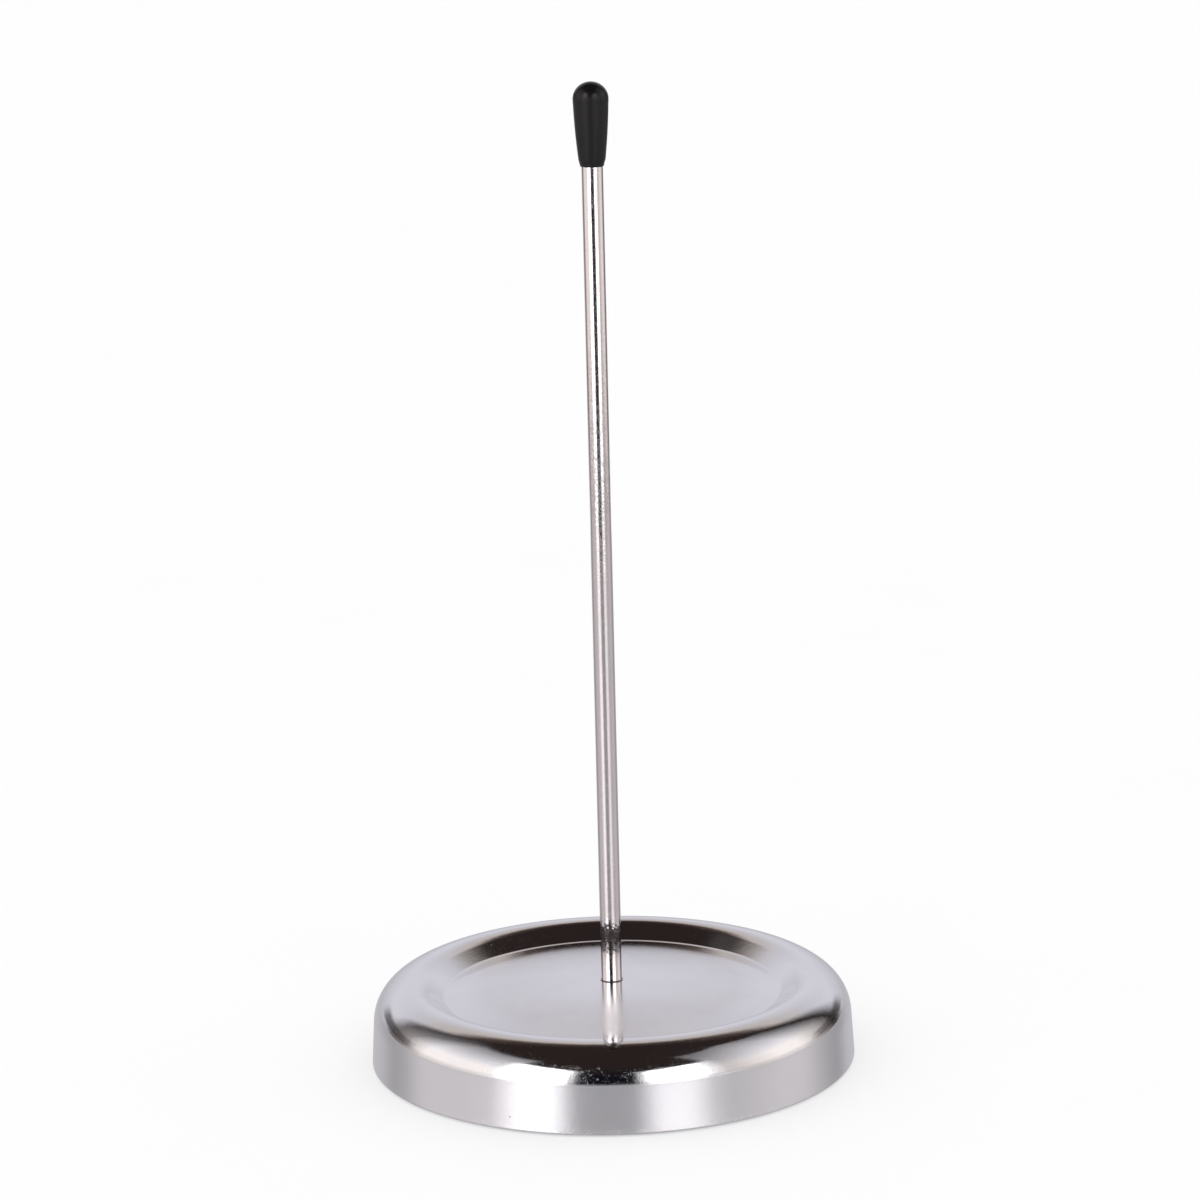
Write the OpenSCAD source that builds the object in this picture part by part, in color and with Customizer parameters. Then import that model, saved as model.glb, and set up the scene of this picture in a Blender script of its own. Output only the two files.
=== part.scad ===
// Desk bill spike: a plated pressed-steel base with a slim rod standing on its
// domed centre and a soft black cap over the rod's point.
// +Z is up, the rod's axis is the Z axis, and z = 0 is the desk.

/* [Base shell] */
// Diameter of the base at its lower edge
base_d = 85; // [83:0.5:86.5]
// Draft of the skirt from the vertical, in degrees
skirt_draft = 3.6; // [2:0.2:5]
// Radius of the rolled shoulder, to its outer face
rim_r = 6.92; // [6.4:0.02:7.2]
// Height of the shoulder's centre above the lower edge
rim_z = 7.5; // [7:0.1:8.5]
// Radius of the crease where the domed centre begins
crease_r = 29.6; // [29:0.1:30.4]
// Drop from the shoulder's crest to the crease
crease_drop = 2.71; // [2.6:0.01:2.85]
// Slope of the straight flank that runs down to the crease, in degrees
flank_a = 34; // [33:0.5:37]
// Rise of the domed centre above the crease
dome_rise = 2.1; // [1.6:0.05:2.4]
// Inside radius of the fold at the crease
crease_fillet = 0.5; // [0.3:0.1:0.8]
// Thickness of the sheet
sheet_t = 0.8; // [0.6:0.1:0.9]

/* [Spike rod] */
// Height of the whole object, to the top of the cap
total_h = 171.3; // [150:0.1:190]
// Diameter of the rod (9 gauge wire)
rod_d = 3.66; // [3.4:0.02:3.9]
// Length of the ground point under the cap
point_l = 6; // [4:0.5:8]
// Diameter of the upset foot that bears on the dome
foot_d = 4.3; // [4.1:0.1:4.8]
// Thickness of the upset foot
foot_h = 0.28; // [0.2:0.02:0.5]

/* [Tip cap] */
// Length of the cap
cap_l = 14.3; // [13:0.1:17]
// Widest diameter of the cap, near its top
cap_d = 6.06; // [5.8:0.02:7]
// Diameter of the cap above its chamfered lower lip
cap_neck_d = 4.6; // [4.5:0.02:5.2]
// Depth of the blind bore
cap_bore_l = 11.2; // [10:0.1:11.4]
// Radial clearance of the bore on the rod
cap_clear = 0.05; // [0.02:0.01:0.1]

/* [Fixing] */
// Nominal diameter of the threaded stud
stud_d = 3; // [2.6:0.1:3]
// Outside diameter of the plain washer
washer_d = 7; // [6.4:0.2:9]
// Thickness of the plain washer
washer_t = 0.5; // [0.4:0.1:0.8]
// Outside diameter of the split lock washer
lock_d = 6.2; // [5.8:0.1:6.4]
// Thickness of the split lock washer
lock_t = 0.8; // [0.6:0.1:0.9]
// Width of the nut across its flats
nut_af = 5.5; // [5:0.1:6]
// Height of the nut
nut_h = 2.4; // [1.8:0.1:2.4]

/* [Underside] */
// Diameter of the ballast plate
ballast_d = 75; // [66:1:76]
// Thickness of the ballast plate
ballast_t = 3; // [2:0.1:3]
// Thickness of the cover's floor and flange
cover_t = 0.8; // [0.6:0.1:1]
// Height of the cover's flange
cover_h = 3; // [2:0.2:3.6]
// Diameter of the rubber foot
pad_d = 79; // [70:1:80]
// Thickness of the rubber foot
pad_t = 1.2; // [1:0.1:1.4]
// How far the rubber foot stands below the shell's edge
pad_proud = 0.2; // [0.1:0.1:0.6]

/* [Hidden] */

// ---- derived heights and radii -------------------------------------------
edge_z   = pad_proud;                 // lower edge of the shell
base_r   = base_d / 2;
rod_r    = rod_d / 2;
stud_r   = stud_d / 2;
hole_r   = stud_r + 0.1;              // hole through the dome and the plate
// centre of the shoulder's arc, set so that the drafted skirt ends at base_r
rim_cr   = base_r - rim_r * cos(skirt_draft)
         - (rim_z + rim_r * sin(skirt_draft)) * tan(skirt_draft);
rim_cz   = edge_z + rim_z;
crest_z  = rim_cz + rim_r;            // top of the shoulder
crease_z = crest_z - crease_drop;
dome_z   = crease_z + dome_rise;      // top of the dome
dome_R   = (pow(crease_r, 2) + pow(dome_rise, 2)) / (2 * dome_rise);
dome_cz  = dome_z - dome_R;           // centre of the dome's sphere

// inner flank: an arc at the crest, then a straight run down to the crease
flank_r  = ((rim_cr - crease_r) * sin(flank_a) - crease_drop * cos(flank_a)) / (1 - cos(flank_a));
flank_c  = [rim_cr, crest_z - flank_r];
// centre of the crease fillet: it touches the dome and the straight flank
fil_q    = [crease_r - crease_fillet * sin(flank_a), crease_z + crease_fillet * cos(flank_a) - dome_cz];
fil_b    = fil_q[0] * cos(flank_a) + fil_q[1] * sin(flank_a);
fil_t    = sqrt(pow(fil_b, 2) - fil_q * fil_q + pow(dome_R + crease_fillet, 2)) - fil_b;
fil_c    = [0, dome_cz] + fil_q + fil_t * [cos(flank_a), sin(flank_a)];
// directions of the outward normal where the fillet meets its neighbours
fil_a0   = atan2(fil_c[1] - dome_cz, fil_c[0]);
fil_a1   = 90 + flank_a;

// lowest point of the sheet's underside, under the crease
under_z  = fil_c[1] - (crease_fillet + sheet_t);

foot_z   = dome_cz + sqrt(pow(dome_R, 2) - pow(hole_r, 2));
cap_z    = total_h - cap_l;           // mouth of the cap
tip_z    = cap_z + cap_bore_l - 0.15; // tip of the rod's point
bore_r   = rod_r + cap_clear;

plate_z  = under_z - ballast_t;       // underside of the ballast plate
washer_z = plate_z - washer_t;
lock_z   = washer_z - lock_t;
nut_z    = lock_z - nut_h;
stud_z   = nut_z - 0.7;               // end of the stud
cover_z  = pad_t;                     // underside of the cover

// inside radius of the skirt at a height
function skirt_in(z) = base_r - (z - edge_z) * tan(skirt_draft) - sheet_t / cos(skirt_draft);
// points of an arc, its normal turning from a0 to a1
function arc(c, r, a0, a1, n) = [for (i = [0 : n]) let (a = a0 + (a1 - a0) * i / n) c + r * [cos(a), sin(a)]];
// one face of the sheet, a distance o inside its outer face, from the hole to the lower edge
function sheet_face(o) = concat(
    [[hole_r, dome_cz + sqrt(pow(dome_R - o, 2) - pow(hole_r, 2))]],
    [for (i = [1 : 8]) let (a0 = 90 - asin(hole_r / dome_R), a = a0 + (fil_a0 - a0) * i / 8)
        [0, dome_cz] + (dome_R - o) * [cos(a), sin(a)]],
    [for (i = [1 : 6]) let (a = fil_a0 + (fil_a1 - fil_a0) * i / 6)
        fil_c - (crease_fillet + o) * [cos(a), sin(a)]],
    [for (i = [0 : 8]) let (a = fil_a1 + (90 - fil_a1) * i / 8)
        flank_c + (flank_r - o) * [cos(a), sin(a)]],
    [for (i = [1 : 20]) let (a = 90 + (skirt_draft - 90) * i / 20)
        [rim_cr, rim_cz] + (rim_r - o) * [cos(a), sin(a)]]
);
function reversed(v) = [for (i = [len(v) - 1 : -1 : 0]) v[i]];

// ---- pieces ---------------------------------------------------------------

// Drawn sheet shell: domed centre, crease, rolled shoulder and drafted skirt
module base_shell() {
    e = 0.12; // broken lower edge
    color([0.80, 0.80, 0.83])
    rotate_extrude($fn = 180)
    polygon(concat(
        sheet_face(0),
        [[base_r - e * tan(skirt_draft), edge_z + e], [base_r - e, edge_z],
         [skirt_in(edge_z) + e, edge_z], [skirt_in(edge_z + e), edge_z + e]],
        reversed(sheet_face(sheet_t))
    ));
}

// Rod with a ground point, an upset foot that bears on the dome and a stud below it
module spike_rod() {
    color([0.78, 0.74, 0.72])
    rotate_extrude($fn = 96)
    polygon(concat(
        [[0, stud_z], [stud_r - 0.3, stud_z], [stud_r, stud_z + 0.3], [stud_r, foot_z]],
        [[foot_d / 2 - 0.06, foot_z], [foot_d / 2, foot_z + 0.06], [foot_d / 2, foot_z + foot_h * 0.45]],
        // concave run from the upset foot into the shaft
        [for (a = [15 : 15 : 90])
            [rod_r + (foot_d / 2 - rod_r) * (1 - sin(a)), foot_z + foot_h * (0.45 + 0.55 * (1 - cos(a)))]],
        // slightly full point
        [for (i = [0 : 8]) let (t = i / 8)
            [0.14 + (rod_r - 0.14) * (1 - pow(t, 1.25)), tip_z - point_l + (point_l - 0.1) * t]],
        [[0.08, tip_z - 0.02], [0, tip_z]]
    ));
}

// Soft cap: near-hemispherical top, full tapered body, chamfered lip, blind bore
module tip_cap() {
    cr = cap_d / 2;
    nr = cap_neck_d / 2;
    top_h = 2.9;              // height of the rounded top
    lip_h = 1.2;              // height of the chamfered lip
    lip_r = bore_r + 0.12;    // radius at the mouth
    z1 = cap_z + lip_h;
    z2 = total_h - top_h;
    color([0.10, 0.09, 0.10])
    rotate_extrude($fn = 96)
    polygon(concat(
        [[bore_r + 0.08, cap_z]],
        [for (i = [0 : 6]) let (t = i / 6) [lip_r + (nr - lip_r) * (0.8 * t + 0.2 * sin(90 * t)), cap_z + lip_h * t]],
        [for (i = [1 : 12]) let (t = i / 12) [nr + (cr - nr) * (1.65 * t - 0.65 * t * t), z1 + (z2 - z1) * t]],
        [for (a = [7.5 : 7.5 : 82.5]) [cr * cos(a), z2 + top_h * sin(a)]],
        [[0, total_h], [0, cap_z + cap_bore_l]],
        [for (a = [75 : -15 : 0]) [bore_r * cos(a), cap_z + cap_bore_l - 0.9 + 0.9 * sin(a)]],
        [[bore_r, cap_z + 0.08]]
    ));
}

// Steel disc that weights the base and backs the rod's clamp
module ballast_plate() {
    c = 0.4;
    r = ballast_d / 2;
    color([0.42, 0.42, 0.43])
    rotate_extrude($fn = 144)
    polygon([[hole_r, plate_z], [r - c, plate_z], [r, plate_z + c],
             [r, under_z - c], [r - c, under_z], [hole_r, under_z]]);
}

// Flat washer under the ballast plate
module plain_washer() {
    color([0.70, 0.70, 0.68])
    translate([0, 0, washer_z])
    difference() {
        cylinder(d = washer_d, h = washer_t, $fn = 64);
        translate([0, 0, -1]) cylinder(r = hole_r, h = washer_t + 2, $fn = 64);
    }
}

// Split spring washer
module lock_washer() {
    color([0.60, 0.60, 0.58])
    translate([0, 0, lock_z])
    rotate_extrude(angle = 348, $fn = 64)
    translate([stud_r + 0.05, 0]) square([lock_d / 2 - stud_r - 0.05, lock_t]);
}

// Hex nut on the stud, its corners broken at both ends
module clamp_nut() {
    rc = nut_af / 2 / cos(30);
    b = 0.32;
    color([0.72, 0.70, 0.62])
    translate([0, 0, nut_z])
    difference() {
        intersection() {
            cylinder(r = rc, h = nut_h, $fn = 6);
            rotate_extrude($fn = 64)
            polygon([[0, 0], [nut_af / 2 - 0.05, 0], [rc + 0.02, b + 0.02], [rc + 0.02, nut_h - b - 0.02],
                     [nut_af / 2 - 0.05, nut_h], [0, nut_h]]);
        }
        translate([0, 0, -1]) cylinder(r = stud_r, h = nut_h + 2, $fn = 64);
    }
}

// Shallow tray pressed into the skirt, its flange upwards
module bottom_cover() {
    p = 0.03; // interference with the skirt
    z1 = cover_z + cover_t;
    z2 = cover_z + cover_h;
    color([0.13, 0.13, 0.14])
    rotate_extrude($fn = 144)
    polygon([[0, cover_z], [skirt_in(cover_z) + p - 0.5, cover_z], [skirt_in(cover_z + 0.5) + p, cover_z + 0.5],
             [skirt_in(z2) + p, z2], [skirt_in(z2) + p - cover_t, z2],
             [skirt_in(z1 + 0.6) + p - cover_t, z1 + 0.6], [skirt_in(z1) + p - cover_t - 0.6, z1], [0, z1]]);
}

// Rubber sheet stuck under the cover, which the object rests on
module rubber_foot() {
    r = pad_d / 2;
    c = 0.2;
    color([0.17, 0.17, 0.18])
    rotate_extrude($fn = 144)
    polygon([[0, 0], [r - c, 0], [r, c], [r, pad_t], [0, pad_t]]);
}

base_shell();
spike_rod();
tip_cap();
ballast_plate();
plain_washer();
lock_washer();
clamp_nut();
bottom_cover();
rubber_foot();
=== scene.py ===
import math

import bmesh
import bpy
from mathutils import Matrix, Vector


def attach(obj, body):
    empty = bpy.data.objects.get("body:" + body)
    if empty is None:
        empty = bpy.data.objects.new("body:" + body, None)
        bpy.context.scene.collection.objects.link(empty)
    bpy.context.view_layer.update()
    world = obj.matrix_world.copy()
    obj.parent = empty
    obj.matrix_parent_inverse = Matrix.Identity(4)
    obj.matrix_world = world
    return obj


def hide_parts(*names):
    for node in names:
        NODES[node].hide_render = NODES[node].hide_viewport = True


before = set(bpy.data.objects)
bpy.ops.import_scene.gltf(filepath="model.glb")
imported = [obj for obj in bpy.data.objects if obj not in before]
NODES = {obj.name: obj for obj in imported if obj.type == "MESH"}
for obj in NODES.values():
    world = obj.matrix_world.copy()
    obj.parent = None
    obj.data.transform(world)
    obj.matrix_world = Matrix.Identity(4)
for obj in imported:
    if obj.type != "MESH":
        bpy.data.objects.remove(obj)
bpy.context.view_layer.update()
SCENE = bpy.context.scene
MM = 0.001


# --------------------------------------------------------------------------
# Camera: the photograph's viewing angle
# --------------------------------------------------------------------------

def make_camera():
    pitch = math.radians(12.402)
    roll = math.radians(-1.38)
    yaw = math.radians(0.037)
    aim = Vector((0, 0, 82.28)) * MM
    dist = 700 * MM
    fwd = Vector((0, math.cos(pitch), -math.sin(pitch)))
    up = Vector((0, math.sin(pitch), math.cos(pitch)))
    right = Vector((1, 0, 0))
    eye = aim - fwd * dist
    r2 = right * math.cos(roll) + up * math.sin(roll)
    u2 = up * math.cos(roll) - right * math.sin(roll)
    f2 = (fwd * math.cos(yaw) - r2 * math.sin(yaw)).normalized()
    r2 = f2.cross(u2).normalized()
    u2 = r2.cross(f2)
    data = bpy.data.cameras.new("camera")
    data.sensor_fit = "HORIZONTAL"
    data.sensor_width = 36
    data.lens = 121.88
    data.clip_start = 0.01
    data.clip_end = 30
    cam = bpy.data.objects.new("camera", data)
    SCENE.collection.objects.link(cam)
    m = Matrix((r2, u2, -f2)).transposed().to_4x4()
    m.translation = eye
    cam.matrix_world = m
    SCENE.camera = cam


make_camera()


# --------------------------------------------------------------------------
# Node graph helper
# --------------------------------------------------------------------------

class Graph:
    """Adds nodes to a tree. A value is a number, a tuple or an output socket."""

    def __init__(self, tree):
        self.tree = tree
        tree.nodes.clear()

    def new(self, kind, **props):
        n = self.tree.nodes.new(kind)
        for k, v in props.items():
            setattr(n, k, v)
        return n

    def put(self, socket, value):
        if isinstance(value, bpy.types.NodeSocket):
            self.tree.links.new(value, socket)
        elif isinstance(value, (tuple, list)) and len(value) == 3 and socket.type == "RGBA":
            socket.default_value = (*value, 1.0)
        else:
            socket.default_value = value

    def math(self, op, a, b=None, c=None):
        n = self.new("ShaderNodeMath", operation=op)
        for i, v in enumerate((a, b, c)):
            if v is not None:
                self.put(n.inputs[i], v)
        return n.outputs[0]

    def add(self, *terms):
        out = terms[0]
        for t in terms[1:]:
            out = self.math("ADD", out, t)
        return out

    def mul(self, *terms):
        out = terms[0]
        for t in terms[1:]:
            out = self.math("MULTIPLY", out, t)
        return out

    def ramp(self, x, x0, x1, y0=0.0, y1=1.0, smooth=True):
        n = self.new("ShaderNodeMapRange", interpolation_type="SMOOTHSTEP" if smooth else "LINEAR", clamp=True)
        for name, v in (("Value", x), ("From Min", x0), ("From Max", x1), ("To Min", y0), ("To Max", y1)):
            self.put(n.inputs[name], v)
        return n.outputs["Result"]

    def vec(self, op, a, b=None, scale=None):
        n = self.new("ShaderNodeVectorMath", operation=op)
        self.put(n.inputs[0], a)
        if b is not None:
            self.put(n.inputs[1], b)
        if scale is not None:
            self.put(n.inputs["Scale"], scale)
        return n.outputs["Value"] if op in ("LENGTH", "DISTANCE", "DOT_PRODUCT") else n.outputs["Vector"]

    def xyz(self, v):
        n = self.new("ShaderNodeSeparateXYZ")
        self.put(n.inputs[0], v)
        return n.outputs["X"], n.outputs["Y"], n.outputs["Z"]

    def join(self, x, y, z):
        n = self.new("ShaderNodeCombineXYZ")
        for s, v in zip(n.inputs, (x, y, z)):
            self.put(s, v)
        return n.outputs[0]

    def noise(self, at, scale, detail=2.0, rough=0.5, distortion=0.0):
        n = self.new("ShaderNodeTexNoise", noise_dimensions="3D")
        self.put(n.inputs["Vector"], at)
        self.put(n.inputs["Scale"], scale)
        self.put(n.inputs["Detail"], detail)
        self.put(n.inputs["Roughness"], rough)
        self.put(n.inputs["Distortion"], distortion)
        return n.outputs["Fac"]

    def cells(self, at, scale):
        n = self.new("ShaderNodeTexVoronoi", feature="F1")
        self.put(n.inputs["Vector"], at)
        self.put(n.inputs["Scale"], scale)
        return n.outputs["Distance"], n.outputs["Color"]

    def facets(self, at, scale):
        """Height of a surface broken into small flat facets, each with a tilt of its own; at is in millimetres."""
        n = self.new("ShaderNodeTexVoronoi", feature="F1")
        self.put(n.inputs["Vector"], at)
        self.put(n.inputs["Scale"], scale)
        tilt = self.vec("SUBTRACT", n.outputs["Color"], (0.5, 0.5, 0.5))
        return self.vec("DOT_PRODUCT", tilt, self.vec("SUBTRACT", at, n.outputs["Position"]))

    def mix(self, fac, a, b):
        n = self.new("ShaderNodeMix", data_type="RGBA", clamp_factor=True)
        self.put(n.inputs[0], fac)
        self.put(n.inputs[6], a)
        self.put(n.inputs[7], b)
        return n.outputs[2]

    def bump(self, height, distance=MM, strength=1.0, normal=None):
        n = self.new("ShaderNodeBump")
        self.put(n.inputs["Height"], height)
        n.inputs["Distance"].default_value = distance
        n.inputs["Strength"].default_value = strength
        if normal is not None:
            self.put(n.inputs["Normal"], normal)
        return n.outputs["Normal"]


def new_material(name):
    """A principled material, its graph, and the object's own coordinates in millimetres."""
    mat = bpy.data.materials.new(name)
    mat.use_nodes = True
    g = Graph(mat.node_tree)
    out = g.new("ShaderNodeOutputMaterial")
    bsdf = g.new("ShaderNodeBsdfPrincipled")
    g.tree.links.new(bsdf.outputs["BSDF"], out.inputs["Surface"])
    at = g.vec("SCALE", g.new("ShaderNodeTexCoord").outputs["Object"], scale=1000.0)
    return mat, g, bsdf, at


def around(g, at):
    """Distance from the axis and angle about it."""
    x, y, z = g.xyz(at)
    r = g.math("SQRT", g.add(g.mul(x, x), g.mul(y, y)))
    return r, g.math("ARCTAN2", y, x), z


# --------------------------------------------------------------------------
# Finishes
# --------------------------------------------------------------------------

def plated_base():
    """Bright plating on pressed sheet: fine grain, coarser at the trimmed edge, a softer dome, faint turned lines, a little haze, a few pits."""
    mat, g, bsdf, at = new_material("plated_base_finish")
    r, th, z = around(g, at)
    grain = g.mul(g.facets(at, 3.0), g.ramp(z, 2.0, 0.5, 0.011, 0.05))
    peel = g.mul(g.noise(at, 0.8, 2.0, 0.5), 0.008)
    sway = g.mul(g.noise(at, 0.055, 1.0, 0.5), 0.03)
    turned = g.noise(g.join(g.mul(r, 5.0), g.mul(th, 2.2), g.mul(z, 5.0)), 1.0, 2.0, 0.6)
    haze = g.noise(at, 0.09, 3.0, 0.6, 0.4)
    # sparse pits, each a tenth of a millimetre or so
    dist, tone = g.cells(at, 0.19)
    tr, tg, tb = g.xyz(tone)
    keep = g.ramp(tr, 0.60, 0.62)
    size = g.ramp(tg, 0.0, 1.0, 0.014, 0.034, smooth=False)
    pit = g.mul(keep, g.ramp(g.math("DIVIDE", dist, size), 1.0, 0.45))
    g.put(bsdf.inputs["Normal"], g.bump(g.add(grain, peel, sway, g.mul(turned, 0.0015), g.mul(pit, -0.05))))
    colour = g.mix(g.ramp(haze, 0.3, 0.7), (0.872, 0.868, 0.882), (0.846, 0.843, 0.862))
    g.put(bsdf.inputs["Base Color"], g.mix(pit, colour, (0.30, 0.28, 0.28)))
    rough = g.add(0.025, g.mul(g.ramp(r, 29.3, 22.0), g.ramp(r, 4.0, 18.0, 0.085, 0.20)), g.mul(g.ramp(haze, 0.35, 0.75), 0.025), g.mul(turned, 0.02), g.mul(pit, 0.25))
    g.put(bsdf.inputs["Roughness"], rough)
    bsdf.inputs["Metallic"].default_value = 1.0
    return mat


def plated_rod():
    """Warm bright plating on drawn wire: fine grain, faint drawing lines along it, a dark seam at the foot."""
    mat, g, bsdf, at = new_material("plated_rod_finish")
    x, y, z = g.xyz(at)
    grain = g.mul(g.facets(at, 3.4), 0.024)
    drawn = g.noise(g.join(g.mul(x, 7.0), g.mul(y, 7.0), g.mul(z, 0.10)), 1.0, 2.0, 0.55)
    sway = g.mul(g.noise(g.join(g.mul(x, 0.3), g.mul(y, 0.3), g.mul(z, 0.06)), 1.0, 1.0, 0.5), 0.02)
    haze = g.noise(g.join(g.mul(x, 0.5), g.mul(y, 0.5), g.mul(z, 0.07)), 1.0, 3.0, 0.6)
    dist, tone = g.cells(at, 0.34)
    tr, tg, tb = g.xyz(tone)
    pit = g.mul(g.ramp(tr, 0.66, 0.68), g.ramp(dist, 0.045, 0.018))
    g.put(bsdf.inputs["Normal"], g.bump(g.add(grain, sway, g.mul(drawn, 0.0015), g.mul(pit, -0.02))))
    colour = g.mix(g.ramp(haze, 0.3, 0.7), (0.735, 0.690, 0.692), (0.705, 0.660, 0.661))
    # darker in a thin uneven band round the foot's lower edge, where it meets the base
    uneven = g.noise(at, 1.6, 2.0, 0.6)
    seam = g.ramp(g.add(z, g.mul(uneven, -0.42)), 13.97, 13.85)
    colour = g.mix(pit, colour, (0.30, 0.26, 0.25))
    g.put(bsdf.inputs["Base Color"], g.mix(seam, colour, (0.050, 0.042, 0.042)))
    g.put(bsdf.inputs["Roughness"], g.add(0.035, g.mul(drawn, 0.04), g.mul(g.ramp(haze, 0.4, 0.75), 0.03), g.mul(pit, 0.2), g.mul(seam, 0.3)))
    bsdf.inputs["Metallic"].default_value = 1.0
    return mat


def black_cap():
    """Satin soft moulding: near black, glossier on its crown, faint flow streaks, a fine moulded skin and a few rubbed spots."""
    mat, g, bsdf, at = new_material("black_cap_finish")
    x, y, z = g.xyz(at)
    skin = g.noise(at, 6.0, 3.0, 0.6)
    flow = g.noise(g.join(g.mul(x, 1.3), g.mul(y, 1.3), g.mul(z, 0.22)), 1.0, 2.0, 0.5)
    rub = g.noise(at, 0.9, 4.0, 0.62)
    height = g.add(g.mul(skin, 0.004), g.mul(flow, 0.012), g.mul(rub, 0.004))
    g.put(bsdf.inputs["Normal"], g.bump(height))
    base = g.mix(g.ramp(flow, 0.35, 0.65), (0.0056, 0.0049, 0.0056), (0.0082, 0.0071, 0.0080))
    g.put(bsdf.inputs["Base Color"], g.mix(g.ramp(rub, 0.60, 0.78), base, (0.020, 0.018, 0.019)))
    g.put(bsdf.inputs["Roughness"], g.add(g.ramp(z, 169.4, 168.5, 0.17, 0.36), g.mul(rub, 0.09), g.mul(skin, 0.05)))
    bsdf.inputs["Specular IOR Level"].default_value = 0.28
    return mat


def mill_steel():
    """Blanked steel plate: mottled scale, rolling lines along X and a few rust-brown stains."""
    mat, g, bsdf, at = new_material("mill_steel_finish")
    x, y, z = g.xyz(at)
    scale = g.noise(at, 0.6, 5.0, 0.62)
    rolled = g.noise(g.join(g.mul(x, 0.05), g.mul(y, 3.0), g.mul(z, 3.0)), 1.0, 3.0, 0.6)
    stain = g.noise(at, 0.12, 4.0, 0.6, 0.6)
    g.put(bsdf.inputs["Normal"], g.bump(g.add(g.mul(scale, 0.02), g.mul(rolled, 0.008))))
    steel = g.mix(scale, (0.22, 0.22, 0.23), (0.40, 0.40, 0.41))
    g.put(bsdf.inputs["Base Color"], g.mix(g.ramp(stain, 0.58, 0.78, 0.0, 0.6), steel, (0.20, 0.12, 0.075)))
    g.put(bsdf.inputs["Metallic"], g.ramp(stain, 0.58, 0.78, 1.0, 0.55))
    g.put(bsdf.inputs["Roughness"], g.add(0.36, g.mul(scale, 0.22), g.mul(rolled, 0.08)))
    return mat


def zinc_hardware():
    """Bright zinc plate: fine spangle, a faint straw tint in patches, tumbled dull spots."""
    mat, g, bsdf, at = new_material("zinc_hardware_finish")
    spangle = g.noise(at, 5.0, 3.0, 0.6)
    patch = g.noise(at, 0.8, 3.0, 0.6)
    g.put(bsdf.inputs["Normal"], g.bump(g.add(g.mul(spangle, 0.004), g.mul(patch, 0.008))))
    g.put(bsdf.inputs["Base Color"], g.mix(g.ramp(patch, 0.35, 0.7), (0.70, 0.71, 0.72), (0.68, 0.66, 0.57)))
    g.put(bsdf.inputs["Roughness"], g.add(0.22, g.mul(spangle, 0.14), g.mul(patch, 0.10)))
    bsdf.inputs["Metallic"].default_value = 1.0
    return mat


def black_cover():
    """Moulded tray: spark-eroded texture and slight sheen changes."""
    mat, g, bsdf, at = new_material("black_cover_finish")
    spark = g.noise(at, 3.2, 3.0, 0.65)
    sheen = g.noise(at, 0.15, 3.0, 0.6)
    g.put(bsdf.inputs["Normal"], g.bump(g.add(g.mul(spark, 0.018), g.mul(sheen, 0.02))))
    g.put(bsdf.inputs["Base Color"], g.mix(sheen, (0.022, 0.022, 0.025), (0.036, 0.036, 0.040)))
    g.put(bsdf.inputs["Roughness"], g.add(0.42, g.mul(spark, 0.18), g.mul(sheen, 0.06)))
    return mat


def rubber_sheet():
    """Matt rubber sheet: fabric-impressed fine texture, dusty patches, paler scuffs."""
    mat, g, bsdf, at = new_material("rubber_sheet_finish")
    x, y, z = g.xyz(at)
    weave = g.mul(g.math("SINE", g.mul(x, 9.0)), g.math("SINE", g.mul(y, 9.0)))
    fine = g.noise(at, 4.0, 3.0, 0.65)
    dust = g.noise(at, 0.11, 5.0, 0.65, 0.5)
    g.put(bsdf.inputs["Normal"], g.bump(g.add(g.mul(weave, 0.010), g.mul(fine, 0.022))))
    base = g.mix(fine, (0.026, 0.026, 0.028), (0.044, 0.044, 0.047))
    g.put(bsdf.inputs["Base Color"], g.mix(g.ramp(dust, 0.55, 0.80, 0.0, 0.5), base, (0.115, 0.112, 0.110)))
    g.put(bsdf.inputs["Roughness"], g.add(0.70, g.mul(fine, 0.12), g.mul(dust, 0.10)))
    bsdf.inputs["Specular IOR Level"].default_value = 0.3
    return mat


# --------------------------------------------------------------------------
# Turned meshes
# --------------------------------------------------------------------------

def lathe(name, rows, seg, loop=False, shape=None, sharp=50):
    """A closed mesh turned about Z. rows are (r, z) in millimetres along the section: from axis to axis,
    or right round it when loop is set. shape(i, r, z, angle) may move a ring's points a little."""
    bm = bmesh.new()
    rings = []
    for i, (r, z) in enumerate(rows):
        if r < 1e-9:
            rings.append([bm.verts.new((0, 0, z * MM))])
            continue
        ring = []
        for j in range(seg):
            a = 2 * math.pi * j / seg
            rr, zz = shape(i, r, z, a) if shape else (r, z)
            ring.append(bm.verts.new((rr * math.cos(a) * MM, rr * math.sin(a) * MM, zz * MM)))
        rings.append(ring)
    pairs = list(zip(rings, rings[1:])) + ([(rings[-1], rings[0])] if loop else [])
    for a, b in pairs:
        if len(a) == 1 and len(b) == 1:
            continue
        for j in range(seg):
            k = (j + 1) % seg
            if len(a) == 1:
                bm.faces.new((a[0], b[k], b[j]))
            elif len(b) == 1:
                bm.faces.new((a[j], a[k], b[0]))
            else:
                bm.faces.new((a[j], a[k], b[k], b[j]))
    bmesh.ops.recalc_face_normals(bm, faces=bm.faces)
    mesh = bpy.data.meshes.new(name)
    bm.to_mesh(mesh)
    bm.free()
    mesh.shade_smooth()
    mesh.set_sharp_from_angle(angle=math.radians(sharp))
    obj = bpy.data.objects.new(name, mesh)
    SCENE.collection.objects.link(obj)
    return obj


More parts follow.
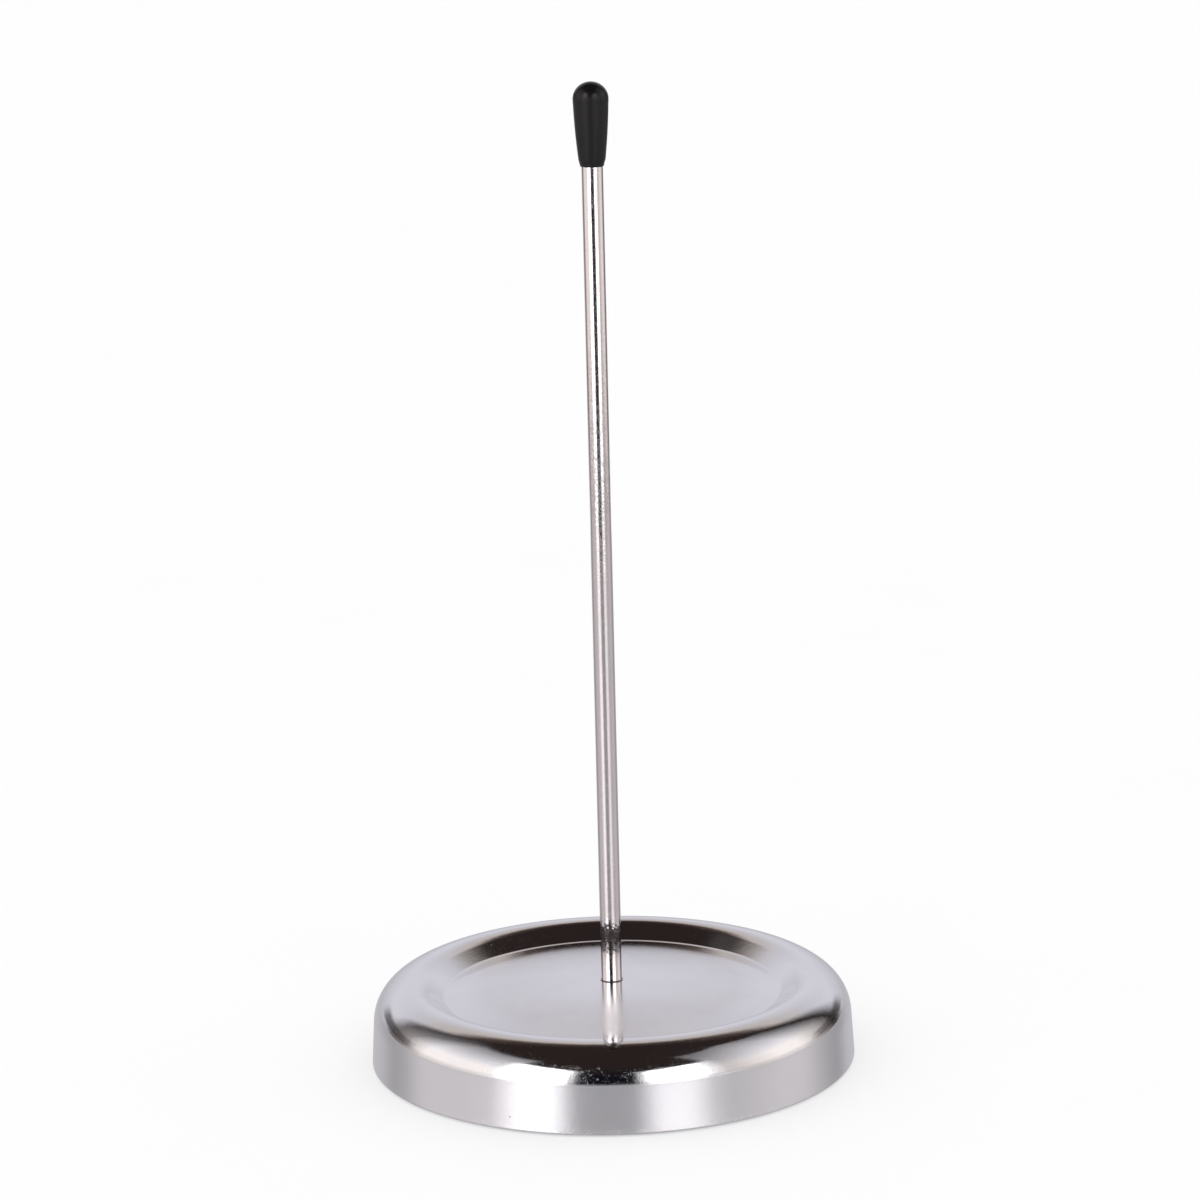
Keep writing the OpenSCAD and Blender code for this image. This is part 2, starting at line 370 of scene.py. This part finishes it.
def arc(cr, cz, r, a0, a1, n, first=0):
    """Points on an arc about (cr, cz), angles in degrees."""
    pts = []
    for i in range(first, n + 1):
        a = math.radians(a0 + (a1 - a0) * i / n)
        pts.append((cr + r * math.cos(a), cz + r * math.sin(a)))
    return pts


def line(p, q, n):
    """Points from p to q, without p."""
    return [(p[0] + (q[0] - p[0]) * i / n, p[1] + (q[1] - p[1]) * i / n) for i in range(1, n + 1)]


def ripple(a, seed, orders):
    """A smooth closed ripple about the axis, within about one."""
    return sum(math.sin(k * a + seed * 1.7 * k + 0.9 * k * k) / (1 + 0.35 * i) for i, k in enumerate(orders)) / len(orders) * 1.4


# Sizes of the construction, in millimetres
EDGE_Z, BASE_R, DRAFT, RIM_R, RIM_UP = 0.2, 42.5, 3.6, 6.92, 7.5
CREASE_R, CREASE_DROP, FLANK_A = 29.6, 2.71, 34.0
DOME_RISE, FOLD_R, SHEET = 2.1, 0.5, 0.8
HOLE_R, ROD_R, TOTAL_H = 1.6, 1.83, 171.3
tan_d, cos_d, sin_d = (f(math.radians(DRAFT)) for f in (math.tan, math.cos, math.sin))
RIM_CR = BASE_R - RIM_R * cos_d - (RIM_UP + RIM_R * sin_d) * tan_d
RIM_CZ = EDGE_Z + RIM_UP
CREST_Z = RIM_CZ + RIM_R
CREASE_Z = CREST_Z - CREASE_DROP
cos_f, sin_f = math.cos(math.radians(FLANK_A)), math.sin(math.radians(FLANK_A))
FLANK_R = ((RIM_CR - CREASE_R) * sin_f - CREASE_DROP * cos_f) / (1 - cos_f)
FLANK_L = (RIM_CR - CREASE_R - FLANK_R * sin_f) / cos_f
DOME_RAD = (CREASE_R ** 2 + DOME_RISE ** 2) / (2 * DOME_RISE)
DOME_CZ = CREASE_Z + DOME_RISE - DOME_RAD


def fold_at(r):
    """Centre of a fold of radius r that touches the dome and the flank, and the angle where it leaves the dome."""
    qx, qz = CREASE_R - r * sin_f, CREASE_Z + r * cos_f - DOME_CZ
    b = qx * cos_f + qz * sin_f
    t = math.sqrt(b * b - qx * qx - qz * qz + (DOME_RAD + r) ** 2) - b
    fx, fz = qx + t * cos_f, DOME_CZ + qz + t * sin_f
    return fx, fz, math.degrees(math.atan2(fz - DOME_CZ, fx))


def base_section():
    """Outer face from the hole to the lower edge, round the edge, and back along the inner face."""
    a1 = 90 + FLANK_A
    top = 90 - math.degrees(math.asin(HOLE_R / DOME_RAD))
    soft = FOLD_R + 0.3                  # plating fills the fold's outer face a little
    fx, fz, a0 = fold_at(soft)
    outer = arc(0, DOME_CZ, DOME_RAD, top, a0, 60)
    outer += arc(fx, fz, soft, a0 + 180, a1 + 180, 16, first=1)
    outer += line(outer[-1], (CREASE_R + FLANK_L * cos_f, CREASE_Z + FLANK_L * sin_f), 26)
    outer += arc(RIM_CR, CREST_Z - FLANK_R, FLANK_R, a1, 90, 36, first=1)
    outer += arc(RIM_CR, RIM_CZ, RIM_R, 90, DRAFT, 64, first=1)

    # lower edge, rolled under a little; the arc's centre lies ro inside the drafted face
    ro, ri = 0.5, 0.10
    oz = EDGE_Z + ro
    ocr = BASE_R - (oz - EDGE_Z) * tan_d - ro / cos_d
    outer += line(outer[-1], (ocr + ro * cos_d, oz + ro * sin_d), 16)
    outer += arc(ocr, oz, ro, DRAFT, -90, 14, first=1)
    iz = EDGE_Z + ri
    icr = BASE_R - (iz - EDGE_Z) * tan_d - SHEET / cos_d + ri / cos_d
    outer += arc(icr, iz, ri, -90, -180 + DRAFT, 5)

    fx, fz, a0 = fold_at(FOLD_R)
    inner = arc(0, DOME_CZ, DOME_RAD - SHEET, top, a0, 22)
    inner += arc(fx, fz, FOLD_R + SHEET, a0 + 180, a1 + 180, 6, first=1)
    inner += arc(RIM_CR, CREST_Z - FLANK_R, FLANK_R - SHEET, a1, 90, 10)
    inner += arc(RIM_CR, RIM_CZ, RIM_R - SHEET, 90, DRAFT, 22, first=1)
    inner.reverse()
    outer += line(outer[-1], inner[0], 10)[:-1]
    return outer + inner


def make_base():
    rows = base_section()

    def shape(i, r, z, a):
        # the trimmed edge wanders by a few hundredths
        if z < EDGE_Z + 0.30:
            w = 1 - (z - EDGE_Z) / 0.30
            z += w * 0.020 * (1 + ripple(a, 1, (7, 13, 29, 61)))
            r -= w * 0.014 * (1 + ripple(a, 2, (5, 17, 37)))
        return r, z

    return lathe("base_shell_plated", rows, 288, loop=True, shape=shape, sharp=60)


def make_rod():
    foot_z = DOME_CZ + math.sqrt(DOME_RAD ** 2 - HOLE_R ** 2)
    foot_r, foot_h = 2.02, 0.22
    stud_z, stud_r, pitch = 3.73, 1.5, 0.5
    tip_z, point_l = 168.05, 6.0
    rows, kind = [], []

    def put(points, what):
        rows.extend(points)
        kind.extend([what] * len(points))

    put([(0, stud_z), (stud_r - 0.55, stud_z)], "end")
    n = int(round((foot_z - 0.35 - stud_z) / 0.0625))
    put([(stud_r, stud_z + 0.06 + 0.0625 * i) for i in range(n - 1)], "thread")
    put([(1.24, foot_z - 0.16), (1.24, foot_z - 0.05), (1.42, foot_z)], "neck")
    put([(foot_r - 0.10, foot_z)], "neck")
    put(arc(foot_r - 0.09, foot_z + 0.09, 0.09, -75, 0, 5) + [(foot_r, foot_z + foot_h * 0.45)], "foot")
    for d in range(12, 91, 13):
        s, c = math.sin(math.radians(d)), math.cos(math.radians(d))
        put([(ROD_R + (foot_r - ROD_R) * (1 - s), foot_z + foot_h * (0.45 + 0.55 * (1 - c)))], "foot")
    z0, z1 = foot_z + foot_h + 0.05, tip_z - point_l
    put([(ROD_R, z0 + (z1 - z0) * i / 96) for i in range(97)], "shaft")
    for i in range(1, 25):
        t = i / 24
        put([(0.14 + (ROD_R - 0.14) * (1 - t ** 1.25), z1 + (point_l - 0.1) * t)], "point")
    put([(0.08, tip_z - 0.02), (0, tip_z)], "point")

    def shape(i, r, z, a):
        k = kind[i]
        if k == "thread":
            t = (z / pitch - a / (2 * math.pi)) % 1.0
            depth = 0.27 * min(1.0, max(0.0, abs(2 * t - 1) * 1.3 - 0.12))
            lead = min(1.0, (z - stud_z) / 0.55)
            r = (stud_r - depth) - 0.35 * (1 - lead)
        elif k == "foot":
            # the upset foot is a little uneven all round
            r += 0.045 * (ripple(a, 3, (2, 3, 7, 11)) - 1) * (r - ROD_R) / (foot_r - ROD_R)
            if z > foot_z + 0.05:
                z += 0.05 * ripple(a, 4, (1, 3, 5, 9)) * min(1.0, (z - foot_z) / foot_h)
        elif k == "shaft" and z < foot_z + 1.5:
            z += 0.04 * ripple(a, 4, (1, 3, 5, 9)) * max(0.0, 1 - (z - foot_z) / 1.5)
        return r, z

    return lathe("spike_rod_plated", rows, 72, shape=shape, sharp=55)


def make_cap():
    cap_l, cap_z = 14.3, TOTAL_H - 14.3
    cr, nr, bore_r, bore_l = 3.02, 2.29, 1.88, 11.2
    top_h, lip_h, lip_r = 2.9, 1.2, bore_r + 0.12
    z1, z2 = cap_z + lip_h, TOTAL_H - top_h
    rows, kind = [], []

    def put(points, what):
        rows.extend(points)
        kind.extend([what] * len(points))

    put([(bore_r + 0.08, cap_z)], "mouth")
    for i in range(0, 19):
        t = i / 18
        put([(lip_r + (nr - lip_r) * (0.8 * t + 0.2 * math.sin(math.pi / 2 * t)), cap_z + lip_h * t)], "lip")
    for i in range(1, 61):
        t = i / 60
        put([(nr + (cr - nr) * (1.65 * t - 0.65 * t * t), z1 + (z2 - z1) * t)], "body")
    for i in range(1, 34):
        a = math.radians(90 * i / 34)
        put([(cr * math.cos(a), z2 + top_h * math.sin(a))], "top")
    put([(0, TOTAL_H)], "top")
    put([(0, cap_z + bore_l)], "bore")
    for d in range(75, -1, -15):
        a = math.radians(d)
        put([(bore_r * math.cos(a), cap_z + bore_l - 0.9 + 0.9 * math.sin(a))], "bore")
    put([(bore_r, cap_z + 8.0), (bore_r, cap_z + 4.0), (bore_r, cap_z + 0.08)], "bore")

    def shape(i, r, z, a):
        k = kind[i]
        if k in ("lip", "mouth"):
            # the thin lip sits a little unevenly on the rod
            w = max(0.0, 1 - (z - cap_z) / lip_h)
            z += 0.10 * w * w * (1 + ripple(a, 5, (2, 3, 5, 9))) * 0.8
            if k == "lip":
                r -= 0.03 * w * (1 - w) * 4 * (1 + ripple(a, 6, (3, 7)))
        if k in ("body", "top"):
            # faint witness line of the mould's upper insert, and two parting lines
            step = 0.018 / (1 + math.exp(-(z - (TOTAL_H - 3.55)) / 0.05))
            r += step - 0.009
            d = min(abs(((a - p + math.pi) % (2 * math.pi)) - math.pi) for p in (0.10, math.pi + 0.10)) * r
            fade = 1.0 if k == "body" else max(0.0, 1 - (z - z2) / top_h)
            r += 0.020 * math.exp(-(d / 0.10) ** 2) * fade
        return r, z

    return lathe("tip_cap_moulded", rows, 160, loop=True, shape=shape, sharp=50)


def dress(obj, mat, node, body):
    obj.data.materials.append(mat)
    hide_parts(node)
    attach(obj, body)


dress(make_base(), plated_base(), "base_shell", "stand")
dress(make_rod(), plated_rod(), "spike_rod", "stand")
dress(make_cap(), black_cap(), "tip_cap", "cap")


def refinish(names, mat):
    for n in names:
        o = NODES[n]
        if not o.material_slots:
            o.data.materials.append(mat)
        for s in o.material_slots:
            s.material = mat


refinish(["ballast_plate"], mill_steel())
refinish(["plain_washer", "lock_washer", "clamp_nut"], zinc_hardware())
refinish(["bottom_cover"], black_cover())
refinish(["rubber_foot"], rubber_sheet())


# --------------------------------------------------------------------------
# Stage: pale floor, soft studio surroundings
# --------------------------------------------------------------------------

def make_floor():
    bm = bmesh.new()
    bmesh.ops.create_grid(bm, x_segments=24, y_segments=24, size=8.0)
    mesh = bpy.data.meshes.new("floor")
    bm.to_mesh(mesh)
    bm.free()
    obj = bpy.data.objects.new("floor", mesh)
    SCENE.collection.objects.link(obj)
    obj.location = (0, 0, -0.00003)
    obj.visible_glossy = False
    mat, g, bsdf, at = new_material("floor_finish")
    tone = g.noise(at, 0.02, 3.0, 0.6)
    g.put(bsdf.inputs["Base Color"], g.mix(tone, (0.405, 0.405, 0.408), (0.420, 0.420, 0.423)))
    g.put(bsdf.inputs["Roughness"], g.add(0.72, g.mul(tone, 0.1)))
    bsdf.inputs["Specular IOR Level"].default_value = 0.1
    bsdf.inputs["Emission Color"].default_value = (0.98, 0.98, 0.985, 1)
    bsdf.inputs["Emission Strength"].default_value = 0.56
    mesh.materials.append(mat)


def studio_light(g, way):
    """Light that reaches the plating from a direction: two front softboxes either side of a dark gap,
    two side panels, a pale backdrop and a dark ceiling."""
    x, y, z = g.xyz(g.vec("NORMALIZE", way))
    deg = 180 / math.pi
    s = g.mul(g.math("ARCTAN2", x, g.mul(y, -1.0)), deg)     # 0 to the front, + to the right, 180 behind
    a = g.math("ABSOLUTE", s)
    e = g.mul(g.math("ARCSINE", z), deg)                     # elevation
    parts = []

    def glow(colour, *masks):
        parts.append(g.vec("SCALE", colour, scale=g.mul(*masks) if len(masks) > 1 else masks[0]))

    # dark ceiling, cooler low down in front
    front = g.mul(g.ramp(a, 70, 30), g.ramp(e, 55, 22))
    parts.append(g.mix(front, (0.0235, 0.0165, 0.0155), (0.0070, 0.0068, 0.0100)))
    # backdrop, a little warmer where it fades at the top, and its spill above
    low = g.mul(g.ramp(e, 1, 4), g.ramp(e, 15, 10))          # low down, the gap between panel and backdrop is wider
    lean = g.ramp(e, 18, 34)                                 # the backdrop narrows towards its top
    behind = g.mul(g.add(g.ramp(g.add(s, g.mul(lean, -1.0)), 130.5, 148.5), g.ramp(g.add(s, g.mul(lean, 4.5)), -127, -142.5)),
                   g.add(1.0, g.mul(-0.75, low, g.ramp(a, 153, 141))))
    wall = g.mix(g.ramp(e, 27, 44), (0.674, 0.667, 0.724), (0.660, 0.612, 0.582))
    glow(wall, behind, g.ramp(e, 53, 42), g.ramp(e, -1, 16, 0.78, 1.0, smooth=False), g.ramp(e, 20, 42, 1.0, 0.78, smooth=False))
    glow((0.058, 0.042, 0.034), behind, g.ramp(e, 64, 48), g.ramp(e, 38, 46))
    # side panels, dimmer towards the top
    panel = g.mix(g.ramp(e, 12, 42), (1.065, 1.0, 0.97), (1.02, 1.005, 1.045))
    right = g.mul(g.ramp(s, 45, 54), g.ramp(s, 131, 100, smooth=False), g.ramp(s, 58, 84, 0.60, 1.0, smooth=False),
                  g.ramp(g.add(e, g.ramp(s, 100, 130, 0.0, 12.0)), 66.5, 61.5), g.ramp(e, 22, 61, 1.0, 0.26, smooth=False))
    fall = g.add(g.ramp(s, -118, -101, 0.0, 0.7, smooth=False), g.ramp(s, -139, -116, 0.0, 0.3, smooth=False))
    left = g.mul(g.ramp(s, -46, -58), fall, g.ramp(e, 60, 53), g.ramp(e, 22, 54, 1.0, 0.28, smooth=False))
    dip = g.mul(g.ramp(e, 9, 1), g.ramp(e, -6, -2))          # dimmer just above the table
    ends = g.add(1.0, g.mul(-0.60, low, g.ramp(a, 106, 118)))
    glow(panel, g.add(right, left), ends, g.add(1.0, g.mul(-0.26, dip)), g.ramp(e, -12.8, -8.4))
    # front softboxes
    tilt = g.add(e, g.mul(g.add(a, -30.0), -0.18))
    box_l = g.mul(3.4, g.ramp(s, -61, -43), g.ramp(s, -16, -31), g.ramp(tilt, 43.6, 37.6))
    box_r = g.mul(2.76, g.ramp(s, 8.2, 23.4), g.ramp(s, 56, 33.6), g.ramp(tilt, 40.9, 35.2))
    glow((1.0, 0.985, 0.985), g.add(box_l, box_r), g.add(1.0, g.mul(-0.5, dip)), g.ramp(e, -12.8, -8.4))
    # the far edge of the table, and the floor below it
    glow((0.315, 0.308, 0.322), g.ramp(a, 75, 45), g.ramp(e, 6.0, -0.5), g.ramp(e, -6.5, -3.5))
    glow((0.33, 0.325, 0.33), g.ramp(e, -9.5, -12))
    total = parts[0]
    for p in parts[1:]:
        total = g.vec("ADD", total, p)
    return total


def make_table():
    """The table's satin top as the plating sees it: seen only in reflections, it glows with painted light, a little
    brighter towards the front.
    """
    bm = bmesh.new()
    bmesh.ops.create_circle(bm, cap_ends=True, segments=128, radius=0.46)
    mesh = bpy.data.meshes.new("table_top")
    bm.to_mesh(mesh)
    bm.free()
    obj = bpy.data.objects.new("table_top", mesh)
    SCENE.collection.objects.link(obj)
    obj.location = (0, 0, -0.00002)
    obj.visible_camera = False
    obj.visible_diffuse = False
    obj.visible_transmission = False
    obj.visible_volume_scatter = False
    obj.visible_shadow = False
    mat = bpy.data.materials.new("table_light")
    mat.use_nodes = True
    mat.cycles.emission_sampling = "NONE"
    g = Graph(mat.node_tree)
    at = g.vec("SCALE", g.new("ShaderNodeTexCoord").outputs["Object"], scale=1000.0)
    tone = g.noise(at, 0.01, 2.0, 0.5)
    em = g.new("ShaderNodeEmission")
    x, y, z = g.xyz(at)
    # painted light: the glowing table is a little brighter towards the front
    ahead = g.ramp(g.math("ABSOLUTE", g.math("ARCTAN2", x, g.mul(y, -1.0))), 0.70, 0.15)
    plain = g.mix(tone, (0.326, 0.321, 0.332), (0.334, 0.327, 0.337))
    lit = g.vec("ADD", plain, g.vec("SCALE", (0.030, 0.030, 0.030), scale=ahead))
    g.put(em.inputs["Color"], lit)
    gl = g.new("ShaderNodeBsdfGlossy")
    gl.inputs["Color"].default_value = (0.352, 0.348, 0.353, 1)
    gl.inputs["Roughness"].default_value = 0.315
    both = g.new("ShaderNodeAddShader")
    g.tree.links.new(em.outputs[0], both.inputs[0])
    g.tree.links.new(gl.outputs[0], both.inputs[1])
    out = g.new("ShaderNodeOutputMaterial")
    g.tree.links.new(both.outputs[0], out.inputs["Surface"])
    mesh.materials.append(mat)


def make_world():
    """One even soft dome over the floor, a pale horizon, and the studio that the plating reflects."""
    world = bpy.data.worlds.new("studio")
    world.use_nodes = True
    SCENE.world = world
    world.cycles.sampling_method = "NONE"
    g = Graph(world.node_tree)
    way = g.new("ShaderNodeTexCoord").outputs["Generated"]
    x, y, z = g.xyz(way)
    dome = g.mix(g.ramp(z, -0.1, 0.95), (0.90, 0.90, 0.915), (1.13, 1.13, 1.135))
    path = g.new("ShaderNodeLightPath")
    lit = g.mix(path.outputs["Is Glossy Ray"], dome, studio_light(g, way))
    seen = g.mix(path.outputs["Is Camera Ray"], lit, (0.985, 0.985, 0.99))
    bg = g.new("ShaderNodeBackground")
    g.put(bg.inputs["Color"], seen)
    bg.inputs["Strength"].default_value = 1.0
    out = g.new("ShaderNodeOutputWorld")
    g.tree.links.new(bg.outputs[0], out.inputs["Surface"])


make_floor()
make_table()
make_world()

SCENE.view_settings.view_transform = "Standard"
SCENE.view_settings.look = "None"
